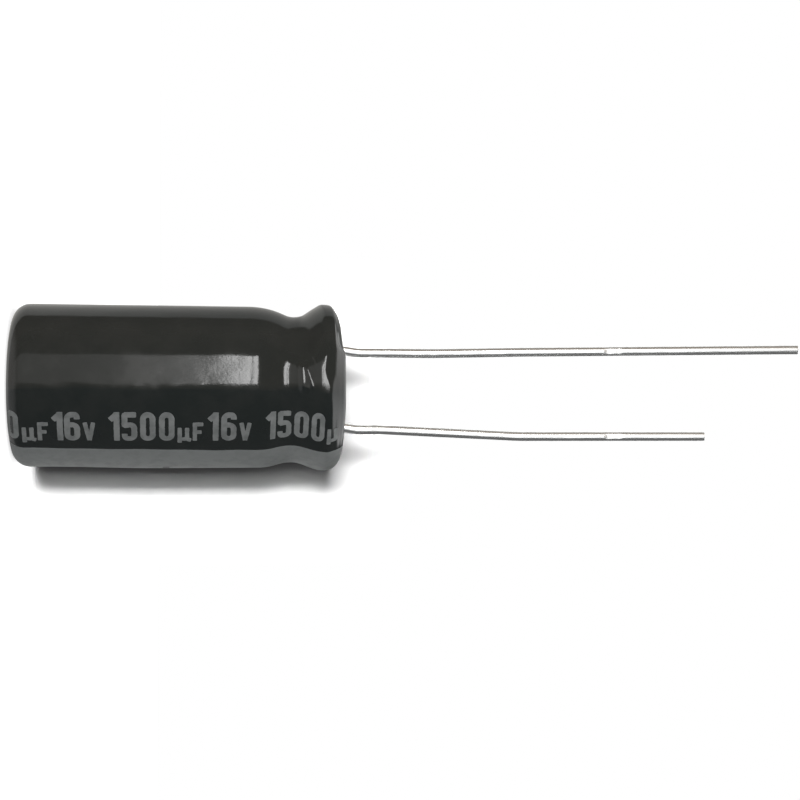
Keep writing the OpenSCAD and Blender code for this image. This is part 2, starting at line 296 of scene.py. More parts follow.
def round_from(angle, middle, low, high):
    """1 round the middle angle and 0 opposite, by way of a cosine that is low where it begins and high where it is
    full, so that it has no seam."""
    return smooth(np.cos(np.radians(angle - middle)), low, high)


def ripple(turn, z):
    """How the shrunk film departs from its path, in mm: a sum of low waves cos(m turn + k z + p) with whole numbers
    m, so that they close round the can, which only go inwards at the ends. The two creases of the flat tube stand
    out of it as narrow ridges, highest where they fold over the closed end, and the blisters as low round hills."""
    waves = np.cos(turn[..., None] * WAVES_ROUND + z[..., None] * WAVES_ALONG + WAVE_PHASE) @ WAVE_SIZE
    side = smooth(z, 0.5, 1.3) * (1 - smooth(z, 18.2, 18.9))
    waves = waves - (1 - side) * WAVE_SIZE.sum()
    beside = SIDE_R * np.abs(np.angle(np.exp(2j * (turn - CREASE_TURN)))) / 2
    beside = beside + 0.05 * np.sin(1.7 * z) * smooth(beside, 0, 0.1)
    crease = CREASE_H * np.exp(-np.sqrt(beside ** 2 + 0.03 ** 2) / CREASE_W) * (1 + 0.35 * np.sin(0.9 * z + 1))
    crease = crease * (1 + 1.6 * bell(z, 0, 0.9)) * smooth(z, 0.1, 0.5) * (1 - smooth(z, 18.6, 19.1))
    angle = from_front(turn)
    hills = sum(h * np.exp(-((z - at) ** 2 + (SIDE_R * np.radians(angle - a)) ** 2) / w ** 2)
                for a, at, h, w in BLISTERS)
    return waves + crease + hills


def groove_span(turn, r, z):
    """How far out of the can's own shape the film stands. From the camera's side round the stripe's it spans the
    groove on a curve of its own: a fall e^(-u^2.5) to the lowest place, then half a wave of a cosine up to the rim's
    crest. On the anode's side it is drawn into the groove, and at the back it follows the can. Low place and crest
    lie further down on the camera's side, where small wrinkles cross the slope: ridges e^(-d^2/w^2) along a straight
    line in angle and height. Past the crest it steps in, where it is stretched over the rim, and it is drawn in a
    little at the closed end's corner on the stripe's side."""
    angle = from_front(turn)
    free = round_from(angle, SPAN_TURN, -0.02, 0.5)
    low = SPAN_LOW_Z - SPAN_LOW_DIP * bell(angle, -10, 60)
    crest = SPAN_CREST_Z - SPAN_CREST_DIP * bell(angle, -7, 22, 4)
    fall = SIDE_R - (SIDE_R - SPAN_R) * bell(z, low, SPAN_FALL, 2.5)
    climb = np.clip((z - low) / (crest - low), 0, 1)
    rise = CREST_R - (CREST_R - SPAN_R) * (1 + np.cos(math.pi * climb)) / 2
    own = (np.where(z < low, fall, rise) - r) * smooth(z, *SPAN_FROM_Z) * (z < SPAN_TO_Z)
    begins = STEP_Z + STEP_CLIMB * smooth(angle, -11, 2)
    step = smooth(angle, *STEP_FROM) * (1 - smooth(angle, *STEP_TO)) * smooth(z, begins, STEP_FULL_Z)
    step = -STEP_IN * step * (1 - smooth(z, *STEP_END_Z))
    drawn = sum(height * bell(z, at, wide) for height, at, wide in DRAWN_BANDS)
    drawn = drawn * round_from(angle, DRAWN_TURN, 0.1, 0.6)
    heel = -HEEL_IN * bell(angle, 90, 45) * (1 - smooth(z, 2.0, 8.5))
    folds = 0
    for height, wide, (a, at), (b, bt) in WRINKLES:
        line = at + (bt - at) * (angle - a) / (b - a)
        ends = smooth(angle, a - 3, a + 1.5) * (1 - smooth(angle, b - 1.5, b + 3))
        folds = folds + height * bell(z, line, wide) * ends
    return free * own + step + (1 - free) * drawn + heel + folds


def film_face(turn, along, lift, rough=1.0):
    """Points of the film at an angle round the axis and a length along the film's path, at a distance out of its
    outer face and with that share of the ripple. The film is thinner where it turns in over the rim on the anode's
    side and part of the back. Wherever it is drawn in, its inner face stays clear of the can."""
    r, z, nr, nz = (np.interp(along, FILM_S, v) for v in (*FILM_POINTS.T, *FILM_NORMALS.T))
    span = groove_span(turn, r, z)
    angle = from_front(turn)
    thinned = RIM_THINNED * smooth(angle, -160, -95) * (1 - smooth(angle, -34, -25)) * smooth(z, 19.75, 20.2)
    out = np.maximum(lift + rough * ripple(turn, z) - thinned, FILM_GAP - FILM_OUT - nr * span)
    return np.stack([(r + nr * out + span) * np.cos(turn), (r + nr * out + span) * np.sin(turn), z + nz * out], -1)


def shrink_sleeve(columns=264, rows=312, inner_rows=26):
    """The sleeve's whole skin as one ring of rows: up the outer face, round the lip's cut edge, down the inner face
    and round the other edge. Both cut edges wander a little, as a sleeve's do. The outer rows lie closest at the
    groove and the rim."""
    turn = np.linspace(-math.pi, math.pi, columns, endpoint=False)
    edge = FILM_T / 2
    low = edge + 0.09 * (1 + 0.5 * np.sin(2 * turn + 0.6) + 0.3 * np.sin(5 * turn) + 0.2 * np.sin(9 * turn + 2))
    high = FILM_LENGTH - edge - 0.05 * (1 + 0.6 * np.sin(3 * turn + 1) + 0.4 * np.sin(7 * turn))
    arc = np.linspace(0, math.pi, 7)[1:-1]
    up = np.interp(np.linspace(0, 1, rows), [0, 0.12, 0.48, 1], [0, 0.12, 0.69, 1])
    down = np.linspace(1, 0, inner_rows)
    share = np.concatenate([up, np.ones(5), down, np.zeros(5), [0]])
    past = np.concatenate([0 * up, edge * np.sin(arc), 0 * down, -edge * np.sin(arc), [0]])
    lift = np.concatenate([0 * up, edge * (np.cos(arc) - 1), 0 * down - FILM_T, edge * (-np.cos(arc) - 1), [0]])
    rough = np.concatenate([0 * up + 1, (1 + np.cos(arc)) / 2, 0 * down, (1 - np.cos(arc)) / 2, [1]])
    along = low + share[:, None] * (high - low) + past[:, None]
    return film_face(turn + 0 * along, along, lift[:, None], rough[:, None])


def ink_patch(turn, along, lift, thick):
    """A patch of ink on the film as a closed flat tube: over its face from one side to the other and back under it.
    turn and along are grids (rows, columns); the ends close on their middle line."""
    top = film_face(turn, along, lift + thick)
    under = film_face(turn, along, lift)[:, ::-1]
    ring = np.concatenate([top, under], axis=1)
    mid = ring.shape[1] // 4
    first = np.broadcast_to((top[:1, mid:mid + 1] + under[:1, -mid - 1:under.shape[1] - mid]) / 2, ring[:1].shape)
    last = np.broadcast_to((top[-1:, mid:mid + 1] + under[-1:, -mid - 1:under.shape[1] - mid]) / 2, ring[:1].shape)
    return np.concatenate([first, ring, last])


def stripe_field():
    """The stripe: all angles within its half-width, from just round the closed end's corner to the rim's crest. Its
    edge on the camera's side leans out a little towards the closed end."""
    z = FILM_POINTS[:, 1]
    inside = FILM_S[(z > 0.1) & (z < 20.32)]
    along, turn = np.meshgrid(np.linspace(inside[0], inside[-1], 236), np.linspace(-STRIPE_HALF, STRIPE_HALF, 81),
                              indexing="ij")
    wander = 0.004 * np.sin(0.8 * along) + 0.003 * np.sin(2.1 * along + 1)
    wander = wander + STRIPE_LEAN * (1 - smooth(np.interp(along, FILM_S, z), -4, 16)) * (turn < 0)
    return ink_patch(turn + wander * np.sign(turn) * smooth(np.abs(turn), 0.6, STRIPE_HALF), along, 0.0, STRIPE_T)


# Distances from an end of a stroke at which it has an extra row of points
PEN_ENDS = np.array([0.004, 0.02, 0.045])


def pen_stroke(path, pen, close=0.07):
    """One stroke of a pen with square, slightly rounded ends along a path of (along the can, up) points. The half
    width at a distance d from an end is pen/2 (1 - (1 - d/close)^4)^(1/4), and full further in."""
    path, s = spaced(np.asarray(path, float), 0.05)
    s = np.unique(np.concatenate([s, PEN_ENDS, s[-1] - PEN_ENDS]))
    from_end = np.minimum(s, s[-1] - s)
    half = pen / 2 * (1 - (1 - np.clip(from_end / close, 0, 1)) ** 4) ** 0.25
    even = np.linspace(0, s[-1], len(path))
    centre = np.stack([np.interp(s, even, path[:, k]) for k in (0, 1)], -1)
    uneven = 0.009 * np.sin(11 * s + 9 * centre[0].sum()) + 0.006 * np.sin(23 * s + 5 * centre[-1].sum())
    side = right_hand(centre)
    reach = half * (1 + uneven / pen)
    return centre[:, None] + side[:, None] * reach[:, None, None] * np.linspace(-1, 1, 7)[:, None]


# Glyphs: the middle lines of their strokes, (along, up), in a box of width w and height h

def digit_one(w, h, pen):
    return [[(w - pen / 2, 0), (w - pen / 2, h)], [(w - pen / 2 - 0.02, h - pen * 0.45), (0.03, h - 0.52)]]


def digit_zero(w, h, pen):
    c, r = pen / 2, (w - pen) / 2
    ring = [(c, h / 2, 0), (c, h - c, r), (w - c, h - c, r), (w - c, c, r), (c, c, r), (c, h / 2 + 0.01, 0)]
    return [rounded_path(ring)]


def digit_five(w, h, pen):
    c = pen / 2
    return [rounded_path([(w - 0.05, h - c, 0), (c, h - c, 0.04), (c, 0.56 * h, 0.04), (w - c, 0.6 * h, 0.27),
                          (w - c, c, 0.27), (c, c, 0.27), (c, 0.27 * h, 0)])]


def digit_six(w, h, pen):
    c, r = pen / 2, (w - pen) / 2
    return [rounded_path([(w - c, 0.76 * h, 0), (w - c, h - c, r), (c, h - c, r), (c, c, r), (w - c, c, r),
                          (w - c, 0.58 * h, r), (c, 0.58 * h, 0)])]


def letter_f(w, h, pen):
    c = pen / 2
    return [[(c, 0), (c, h)], [(c, h - 0.45 * pen), (w, h - 0.45 * pen)], [(c, 0.5 * h), (w - 0.1, 0.5 * h)]]


def letter_micro(w, h, pen):
    c = pen / 2
    stem = w - 0.12 - c
    return [[(c, -0.17), (c, h)], rounded_path([(c, c, 0), (stem, c, 0.06), (stem, h, 0)]), [(stem, 0.1), (w, 0.05)]]


def letter_v(w, h, pen):
    return [[(pen * 0.5, h), (w / 2, 0.02)], [(w - pen * 0.5, h), (w / 2, 0.02)]]


# A generic rating in the photograph's rhythm: glyph, width, height, pen, space after it
RATING = [(digit_one, 0.6, DIGIT_H, DIGIT_PEN, 0.12), (digit_five, 0.92, DIGIT_H, DIGIT_PEN, 0.17),
          (digit_zero, 0.92, DIGIT_H, DIGIT_PEN, 0.2), (digit_zero, 0.93, DIGIT_H, DIGIT_PEN, 0.18),
          (letter_micro, 0.82, MICRO_H, LETTER_PEN, 0.09), (letter_f, 0.64, LETTER_H, LETTER_PEN, 0.32),
          (digit_one, 0.6, DIGIT_H, DIGIT_PEN, 0.15), (digit_six, 0.93, DIGIT_H, DIGIT_PEN, 0.16),
          (letter_v, 0.76, LETTER_H, LETTER_PEN, 0.0)]


def rating_strokes():
    """The rating, printed again and again along the film before it was shrunk: the places along the print are
    lengths along the film's path, the heights are angles round it. It moves a little with the film where that is
    drawn over the ends. Strokes that would run off the film are left out."""
    start = SIDE_START + PRINT_START_Z - SIDE_START_Z
    patches = []
    for repeat in (-1, 0, 1):
        place = start + repeat * PRINT_PERIOD
        for glyph, w, h, pen, space in RATING:
            for path in glyph(w, h, pen):
                stroke = pen_stroke(path, pen)
                along = place + stroke[..., 0]
                drawn_in = np.clip(along - PRINT_DRAWN_FROM, 0, None)
                along = along + (PRINT_DRAWN_SHIFT - PRINT_DRAWN_LESS * drawn_in) * (drawn_in > 0)
                along = along + PRINT_CORNER_SHIFT * (1 - smooth(place, *PRINT_CORNER))
                turn = PRINT_BASE_TURN - stroke[..., 1] / SIDE_R
                if along.min() > PRINT_START and along.max() < PRINT_END:
                    patches.append(ink_patch(turn, along, -INK_UNDER, INK_T))
            place += w + space
    return patches


def minus_mark():
    """One minus sign in the middle of the stripe: a bar round the can with slightly rounded ends."""
    length, width = MINUS_SIZE
    bar = pen_stroke([(0, -length / 2), (0, length / 2)], width)
    along = SIDE_START + MINUS_Z - SIDE_START_Z + bar[..., 0]
    return ink_patch(bar[..., 1] / SIDE_R, along, STRIPE_T - INK_UNDER, MINUS_T)


# Leads

def lead(route, seed):
    """A drawn wire: circles of the wire's radius, a little uneven across, on a rounded path in the XZ plane. At the
    clamp's mark two flats face -Y and +Y, with a low ridge across them. The ends have a rounded edge, and the upper
    one is sheared."""
    path, s = spaced(rounded_path(route, 40), 0.12)
    end = s[-1]
    rows = np.concatenate([WIRE_END_S, s[1:-1], end - np.array(WIRE_END_S[::-1])])
    radius = np.concatenate([WIRE_END_R, 0 * s[1:-1] + WIRE_R, WIRE_END_R[::-1]])
    centre = np.stack([np.interp(rows, s, path[:, k]) for k in (0, 1)], -1)
    side = np.stack([np.interp(rows, s, right_hand(path)[:, k]) for k in (0, 1)], -1)
    angle = np.linspace(0, 2 * math.pi, 40, endpoint=False)
    rnd = np.random.default_rng(seed)
    waves = sum(WIRE_UNEVEN * np.sin(rows * f + p) for f, p in zip(rnd.uniform(0.5, 3, 5), rnd.uniform(0, 6, 5)))
    across = radius[:, None] * np.cos(angle) * (1 + waves[:, None])
    depth = radius[:, None] * np.sin(angle)
    z = centre[:, 1:2]
    mark = smooth(z, CLAMP_Z - CLAMP_HALF, CLAMP_Z - CLAMP_HALF + CLAMP_SLOPE)
    mark = mark * (1 - smooth(z, CLAMP_Z + CLAMP_HALF - CLAMP_SLOPE, CLAMP_Z + CLAMP_HALF))
    mark = mark * (1 - RIDGE_SHARE * bell(z, CLAMP_Z + RIDGE_AT, RIDGE_HALF))
    limit = WIRE_R - mark * (WIRE_R - CLAMP_T / 2)
    pressed = np.clip(depth, -limit, limit)
    across = across * (1 + CLAMP_SPREAD * (np.abs(depth) - np.abs(pressed)) / WIRE_R)
    x = centre[:, :1] + side[:, :1] * across
    sheared = np.where((rows > end - WIRE_END_S[-1] - 0.01)[:, None], WIRE_SHEAR * across, 0)
    return np.stack([x, pressed, z + side[:, 1:2] * across - np.abs(sheared)], -1)


# Materials

def put(tree, kind, **inputs):
    """A node with values or links set on its sockets. Names are sockets' names, or numbers written as _0, _1."""
    n = tree.nodes.new(kind)
    for key, value in inputs.items():
        if hasattr(n, key) and not key.startswith("_"):
            setattr(n, key, value)
            continue
        socket = n.inputs[int(key[1:])] if key.startswith("_") else n.inputs[key.replace("_", " ")]
        if isinstance(value, bpy.types.NodeSocket):
            tree.links.new(value, socket)
        else:
            socket.default_value = value
    return n


def math_node(tree, operation, a, b=0.0, c=0.0):
    return put(tree, "ShaderNodeMath", operation=operation, _0=a, _1=b, _2=c).outputs[0]


def mapped(tree, value, low, high, to_low=0.0, to_high=1.0):
    return put(tree, "ShaderNodeMapRange", interpolation_type="SMOOTHSTEP", _0=value, _1=low, _2=high, _3=to_low,
               _4=to_high).outputs[0]


def mixed(tree, factor, a, b, blend="MIX"):
    n = put(tree, "ShaderNodeMix", data_type="RGBA", blend_type=blend)
    for socket, value in ((n.inputs[0], factor), (n.inputs[6], a), (n.inputs[7], b)):
        if isinstance(value, bpy.types.NodeSocket):
            tree.links.new(value, socket)
        else:
            socket.default_value = value
    return n.outputs[2]


def times(tree, *values):
    """The product of all the values."""
    total = values[0]
    for value in values[1:]:
        total = math_node(tree, "MULTIPLY", total, value)
    return total


def group(name, inputs, outputs):
    """An empty shader group with float or vector inputs (name, kind, value) and outputs (name, kind)."""
    tree = bpy.data.node_groups.new(name, "ShaderNodeTree")
    for label, kind, value in inputs:
        socket = tree.interface.new_socket(label, in_out="INPUT", socket_type=kind)
        if value is not None:
            socket.default_value = value
    for label, kind in outputs:
        tree.interface.new_socket(label, in_out="OUTPUT", socket_type=kind)
    return tree, tree.nodes.new("NodeGroupInput"), tree.nodes.new("NodeGroupOutput")


def can_coordinates():
    """Object coordinates turned into (length round a 5 mm circle, height, radius), all in metres."""
    tree, _, out = group("can_coordinates", [], [("Vector", "NodeSocketVector"), ("Radius", "NodeSocketFloat")])
    place = put(tree, "ShaderNodeSeparateXYZ", Vector=put(tree, "ShaderNodeTexCoord").outputs["Object"])
    x, y, z = place.outputs
    radius = math_node(tree, "SQRT", math_node(tree, "ADD", times(tree, x, x), times(tree, y, y)))
    turn = times(tree, math_node(tree, "ARCTAN2", y, x), 5 * MM)
    tree.links.new(put(tree, "ShaderNodeCombineXYZ", X=turn, Y=z, Z=radius).outputs[0], out.inputs["Vector"])
    tree.links.new(radius, out.inputs["Radius"])
    return tree


def handling_marks():
    """Soft blotches from fingers and dust: two noises of different grain, and how strongly they show."""
    tree, ins, out = group("handling_marks",
                           [("Blotch", "NodeSocketFloat", 900.0), ("Grain", "NodeSocketFloat", 6000.0)],
                           [("Mask", "NodeSocketFloat"), ("Height", "NodeSocketFloat")])
    where = put(tree, "ShaderNodeTexCoord").outputs["Object"]
    blotch = put(tree, "ShaderNodeTexNoise", Vector=where, Scale=ins.outputs["Blotch"], Detail=3.0, Roughness=0.6)
    grain = put(tree, "ShaderNodeTexNoise", Vector=where, Scale=ins.outputs["Grain"], Detail=2.0, Roughness=0.55)
    tree.links.new(mapped(tree, blotch.outputs[0], 0.38, 0.68), out.inputs["Mask"])
    tree.links.new(grain.outputs[0], out.inputs["Height"])
    return tree


def use(tree, what, **values):
    n = tree.nodes.new("ShaderNodeGroup")
    n.node_tree = what
    for key, value in values.items():
        n.inputs[key].default_value = value
    return n


def finish(name, **sockets):
    """A new material whose Principled BSDF has those values on its own sockets. Gives material, tree and shader."""
    m = bpy.data.materials.new(name)
    m.use_nodes = True
    shader = m.node_tree.nodes["Principled BSDF"]
    for key, value in sockets.items():
        shader.inputs[key.replace("_", " ")].default_value = value
    return m, m.node_tree, shader


def relief(tree, shader, height, distance, strength=1.0):
    bump = put(tree, "ShaderNodeBump", Height=height, Distance=distance, Strength=strength)
    tree.links.new(bump.outputs[0], shader.inputs["Normal"])


CAN_COORDINATES = can_coordinates()
HANDLING = handling_marks()


def film_finish():
    """Glossy black film: faint blotches, a fine grain from shrinking, and lengthwise draw lines."""
    m, tree, shader = finish("shrink_film")
    marks = use(tree, HANDLING, Blotch=520.0, Grain=5200.0)
    colour = mixed(tree, marks.outputs["Mask"], (0.0125, 0.0162, 0.0155, 1), (0.0165, 0.0195, 0.0185, 1))
    tree.links.new(colour, shader.inputs["Base Color"])
    tree.links.new(mapped(tree, marks.outputs["Mask"], 0.0, 1.0, 0.08, 0.13), shader.inputs["Roughness"])
    place = use(tree, CAN_COORDINATES).outputs["Vector"]
    drawn = put(tree, "ShaderNodeMapping", Vector=place, Scale=(2400.0, 260.0, 1.0))
    lines = put(tree, "ShaderNodeTexNoise", Vector=drawn.outputs[0], Scale=1.0, Detail=2.0)
    height = math_node(tree, "MULTIPLY_ADD", marks.outputs["Height"], 0.5, lines.outputs[0])
    relief(tree, shader, height, 0.000003)
    return m


def ink_finish(name, base, worn):
    """Printed ink: a slightly uneven grey, duller than the film under it."""
    m, tree, shader = finish(name)
    marks = use(tree, HANDLING, Blotch=1500.0, Grain=14000.0)
    tree.links.new(mixed(tree, marks.outputs["Mask"], base, worn), shader.inputs["Base Color"])
    tree.links.new(mapped(tree, marks.outputs["Mask"], 0.0, 1.0, 0.36, 0.46), shader.inputs["Roughness"])
    relief(tree, shader, marks.outputs["Height"], 0.000004)
    return m


def wire_finish():
    """Tinned wire: dull bright metal with faint lines along its length and darker tarnish spots."""
    m, tree, shader = finish("tinned_wire", Metallic=1.0)
    marks = use(tree, HANDLING, Blotch=1400.0, Grain=16000.0)
    where = put(tree, "ShaderNodeTexCoord").outputs["Object"]
    drawn = put(tree, "ShaderNodeMapping", Vector=where, Scale=(14000.0, 14000.0, 420.0))
    lines = put(tree, "ShaderNodeTexNoise", Vector=drawn.outputs[0], Scale=1.0, Detail=2.0)
    colour = mixed(tree, marks.outputs["Mask"], (0.81, 0.82, 0.82, 1), (0.69, 0.7, 0.695, 1))
    tree.links.new(colour, shader.inputs["Base Color"])
    tree.links.new(mapped(tree, marks.outputs["Mask"], 0.0, 1.0, 0.2, 0.3), shader.inputs["Roughness"])
    relief(tree, shader, lines.outputs[0], 0.000004)
    return m


def aluminium_finish(name, base, roughness, lines_scale):
    """Aluminium with fine lines round it or along it, from drawing or rolling."""
    m, tree, shader = finish(name, Metallic=1.0)
    marks = use(tree, HANDLING, Blotch=700.0, Grain=9000.0)
    place = use(tree, CAN_COORDINATES).outputs["Vector"]
    drawn = put(tree, "ShaderNodeMapping", Vector=place, Scale=lines_scale)
    lines = put(tree, "ShaderNodeTexNoise", Vector=drawn.outputs[0], Scale=1.0, Detail=3.0)
    darker = tuple(0.8 * v for v in base[:3]) + (1,)
    tree.links.new(mixed(tree, marks.outputs["Mask"], base, darker), shader.inputs["Base Color"])
    tree.links.new(mapped(tree, lines.outputs[0], 0.3, 0.7, roughness, roughness + 0.12), shader.inputs["Roughness"])
    relief(tree, shader, lines.outputs[0], 0.000008)
    return m


def rubber_finish():
    """Moulded black rubber: matt, with a grainy skin and pale bloom in blotches."""
    m, tree, shader = finish("seal_rubber")
    marks = use(tree, HANDLING, Blotch=800.0, Grain=7000.0)
    colour = mixed(tree, marks.outputs["Mask"], (0.016, 0.016, 0.017, 1), (0.03, 0.03, 0.031, 1))
    tree.links.new(colour, shader.inputs["Base Color"])
    tree.links.new(mapped(tree, marks.outputs["Mask"], 0.0, 1.0, 0.55, 0.72), shader.inputs["Roughness"])
    relief(tree, shader, marks.outputs["Height"], 0.00003)
    return m


# From one turn of the roll to the next
TURN_PITCH = 0.22 * MM


def roll_finish():
    """Foil and paper seen on edge: thin rings of grey foil and tan paper by radius, with wandering thickness."""
    m, tree, shader = finish("foil_and_paper", Roughness=0.6)
    marks = use(tree, HANDLING, Blotch=700.0, Grain=8000.0)
    radius = use(tree, CAN_COORDINATES).outputs["Radius"]
    uneven = math_node(tree, "MULTIPLY_ADD", marks.outputs["Height"], 0.0001, radius)
    ring = math_node(tree, "SINE", times(tree, uneven, 2 * math.pi / TURN_PITCH))
    foil = mapped(tree, ring, 0.1, 0.6)
    colour = mixed(tree, foil, (0.5, 0.4, 0.26, 1), (0.42, 0.42, 0.43, 1))
    tree.links.new(colour, shader.inputs["Base Color"])
    relief(tree, shader, foil, 0.00002)
    return m


def tape_finish():
    """Thin pale tape with a faint grain and darker, soaked blotches."""
    m, tree, shader = finish("tape_film")
    marks = use(tree, HANDLING, Blotch=600.0, Grain=9000.0)
    colour = mixed(tree, marks.outputs["Mask"], (0.55, 0.45, 0.24, 1), (0.42, 0.33, 0.17, 1))
    tree.links.new(colour, shader.inputs["Base Color"])
    tree.links.new(mapped(tree, marks.outputs["Mask"], 0.0, 1.0, 0.3, 0.42), shader.inputs["Roughness"])
    relief(tree, shader, marks.outputs["Height"], 0.000008)
    return m


film = film_finish()
stripe_ink = ink_finish("stripe_ink", (0.196, 0.208, 0.206, 1), (0.18, 0.191, 0.189, 1))
print_ink = ink_finish("print_ink", (0.2, 0.21, 0.208, 1), (0.14, 0.149, 0.148, 1))
minus_ink = ink_finish("minus_ink", (0.016, 0.017, 0.017, 1), (0.024, 0.025, 0.025, 1))
tinned = wire_finish()
can_metal = aluminium_finish("can_aluminium", (0.86, 0.87, 0.88, 1), 0.24, (300.0, 9000.0, 9000.0))
tab_metal = aluminium_finish("tab_aluminium", (0.88, 0.89, 0.9, 1), 0.2, (9000.0, 300.0, 9000.0))
rubber = rubber_finish()


# Pieces

sleeve = grid_piece("shrink_sleeve", [shrink_sleeve()], film)
stripe = grid_piece("stripe_print", [stripe_field()], stripe_ink)
minus = grid_piece("minus_mark", [minus_mark()], minus_ink)
rating = grid_piece("rating_print", rating_strokes(), print_ink)
long_lead = grid_piece("long_lead", [lead(ANODE_ROUTE, 3)], tinned)
short_lead = grid_piece("short_lead", [lead(CATHODE_ROUTE, 8)], tinned)
can = smooth_copy("can", "drawn_can", can_metal)
seal = smooth_copy("rubber_seal", "seal_bung", rubber)

PIECES = [(sleeve, "shrink_film", "sleeve"), (stripe, "print_ink", "polarity_stripe"), (minus, "print_ink", None),
          (rating, "print_ink", None), (long_lead, "tinned_wire", "anode_lead"),
          (short_lead, "tinned_wire", "cathode_lead"), (can, "can_aluminium", "can"),
          (seal, "seal_rubber", "rubber_seal")]
for piece, slot, node in PIECES:
    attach(piece, "root")
    if node:
        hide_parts(node)

for node, material in (("anode_tab", tab_metal), ("cathode_tab", tab_metal), ("wound_roll", roll_finish()),
                       ("closing_tape", tape_finish())):
    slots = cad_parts[node].data.materials
    for i in range(len(slots)):
        slots[i] = material


# Stage

FLOOR_HALF = 400
# The sheet behind the part stands in for the table that the real part lies on. Where it is, and where it shows: from
# the part's side at +X outwards, further in beside the groove, and above the rim from the other side as well
TABLE_Y = 5.41
TABLE_X, TABLE_Z = (-10, 13), (0.05, 29)
SHOWN_FROM_X, SHOWN_TO_X = (4.8, 5.2), (9, 12)
SHOWN_FROM_Z, SHOWN_TO_Z = (0.05, 1), (22, 25.5)
SHOWN_GROOVE_FROM_Z, SHOWN_GROOVE_TO_Z, SHOWN_GROOVE_IN = (13.7, 15.8), (18.5, 19.7), 0.6
SHOWN_ABOVE_X, SHOWN_ABOVE_Z = (-9, -7), (20.4, 20.9)


def stage_sheet(name, corners, material, cells=24):
    """A flat sheet between four corners, as a grid of cells."""
    a, b, c, d = (np.array(p, float) for p in corners)
    u, v = np.meshgrid(np.linspace(0, 1, cells), np.linspace(0, 1, cells), indexing="ij")
    u, v = u[..., None], v[..., None]
    points = (a * (1 - u) * (1 - v) + b * u * (1 - v) + c * u * v + d * (1 - u) * v).reshape(-1, 3)
    row, col = np.meshgrid(np.arange(cells - 1), np.arange(cells - 1), indexing="ij")
    first = row * cells + col
    quads = np.stack([first, first + cells, first + cells + 1, first + 1], -1).reshape(-1, 4)
    mesh = bpy.data.meshes.new(name)
    mesh.from_pydata(points * MM, [], quads.tolist())
    sheet = added(name, mesh, material)
    return sheet


def stage_finish(name, colour, glow, masked):
    """A matt sheet that renders white to the camera but keeps shadows: some glow for camera rays plus the light that
    falls on it. It is clear from behind and to glossy rays, which see the world's room instead. The masked one,
    behind the part, has no glow, is clear to all but the camera, and shows only beside the part and above its rim."""
    m = bpy.data.materials.new(name)
    m.use_nodes = True
    tree = m.node_tree
    tree.nodes.clear()
    path = put(tree, "ShaderNodeLightPath")
    camera = path.outputs["Is Camera Ray"]
    matt = put(tree, "ShaderNodeBsdfDiffuse", Color=colour).outputs[0]
    light = put(tree, "ShaderNodeEmission", Strength=times(tree, camera, glow)).outputs[0]
    lit = put(tree, "ShaderNodeAddShader", _0=matt, _1=light).outputs[0]
    unseen = math_node(tree, "MAXIMUM", put(tree, "ShaderNodeNewGeometry").outputs["Backfacing"],
                       path.outputs["Is Glossy Ray"])
    shown = math_node(tree, "SUBTRACT", 1.0, unseen)
    if masked:
        where = put(tree, "ShaderNodeTexCoord").outputs["Object"]
        x, _, z = put(tree, "ShaderNodeSeparateXYZ", Vector=where).outputs

        def fade(value, places, start=0.0, end=1.0):
            return mapped(tree, value, places[0] * MM, places[1] * MM, start, end)

        above = times(tree, fade(x, SHOWN_ABOVE_X), fade(z, SHOWN_ABOVE_Z))
        groove = times(tree, fade(z, SHOWN_GROOVE_FROM_Z), fade(z, SHOWN_GROOVE_TO_Z, 1.0, 0.0))
        shifted = math_node(tree, "MULTIPLY_ADD", groove, SHOWN_GROOVE_IN * MM, x)
        beside = math_node(tree, "MAXIMUM", fade(shifted, SHOWN_FROM_X), above)
        shown = times(tree, shown, camera, beside, fade(x, SHOWN_TO_X, 1.0, 0.0), fade(z, SHOWN_FROM_Z),
                      fade(z, SHOWN_TO_Z, 1.0, 0.0))
    clear = put(tree, "ShaderNodeBsdfTransparent").outputs[0]
    mix = put(tree, "ShaderNodeMixShader", _0=shown, _1=clear, _2=lit).outputs[0]
    put(tree, "ShaderNodeOutputMaterial", Surface=mix)
    return m


stage_sheet("floor", [(a * FLOOR_HALF, b * FLOOR_HALF, 0) for a, b in ((-1, -1), (1, -1), (1, 1), (-1, 1))],
            stage_finish("floor", (0.93, 0.93, 0.93, 1), 0.72, False))
table = stage_sheet("table_behind",
                    [(TABLE_X[i], TABLE_Y, TABLE_Z[k]) for i, k in ((0, 0), (1, 0), (1, 1), (0, 1))],
                    stage_finish("table_behind", (0.1, 0.1, 0.1, 1), 0.0, True))


def linked(name, objects):
    """A collection for light linking that holds those objects."""
    held = bpy.data.collections.new(name)
    for piece in objects:
        held.objects.link(piece)
    return held


# The height on the part from which the lamps' angles and distances are taken
LAMPS_AIM_Z = 12


